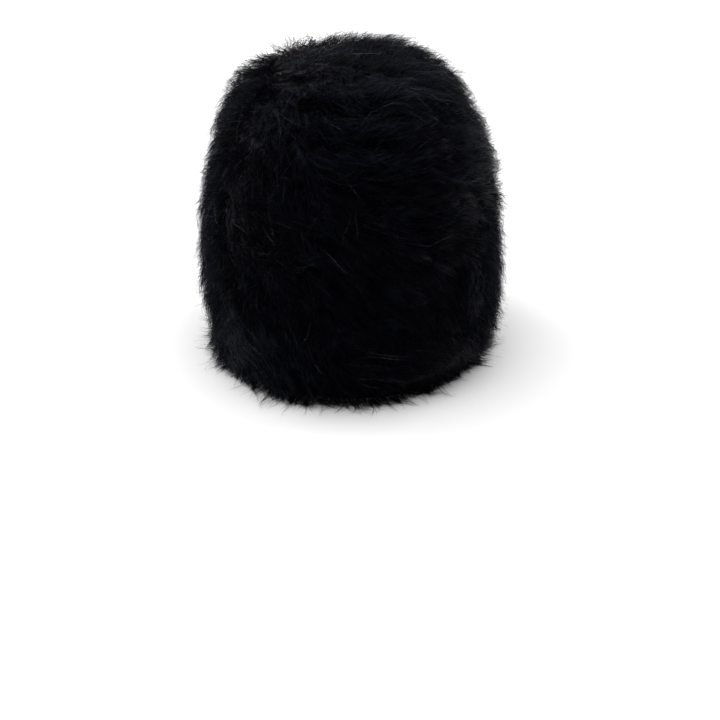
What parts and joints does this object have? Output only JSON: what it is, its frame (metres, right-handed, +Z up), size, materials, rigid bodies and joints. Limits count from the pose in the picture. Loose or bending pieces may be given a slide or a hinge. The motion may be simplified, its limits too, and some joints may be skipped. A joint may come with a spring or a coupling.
{
  "type": "knit hat",
  "caption": "Pull-on knit hat covered in deep swept fur, with a level open rim and a rounded crown.",
  "frame": {"origin": "middle of the rim's flat lower face, on the surface that the hat rests on", "axes": "+Z up to the crown, +Y to the front of the hat, +X across it"},
  "size_m": [0.1989, 0.2313, 0.204],
  "materials": {
    "black_knit": "matt knitted yarn",
    "black_fur": "deep fur with a soft sheen"
  },
  "bodies": {
    "root": {"knit_cap": "black_knit", "fur_round_1": "black_fur", "fur_round_2": "black_fur", "fur_round_3": "black_fur", "fur_round_4": "black_fur", "fur_round_5": "black_fur", "fur_round_6": "black_fur", "fur_round_7": "black_fur", "fur_crown": "black_fur"}
  },
  "joints": []
}
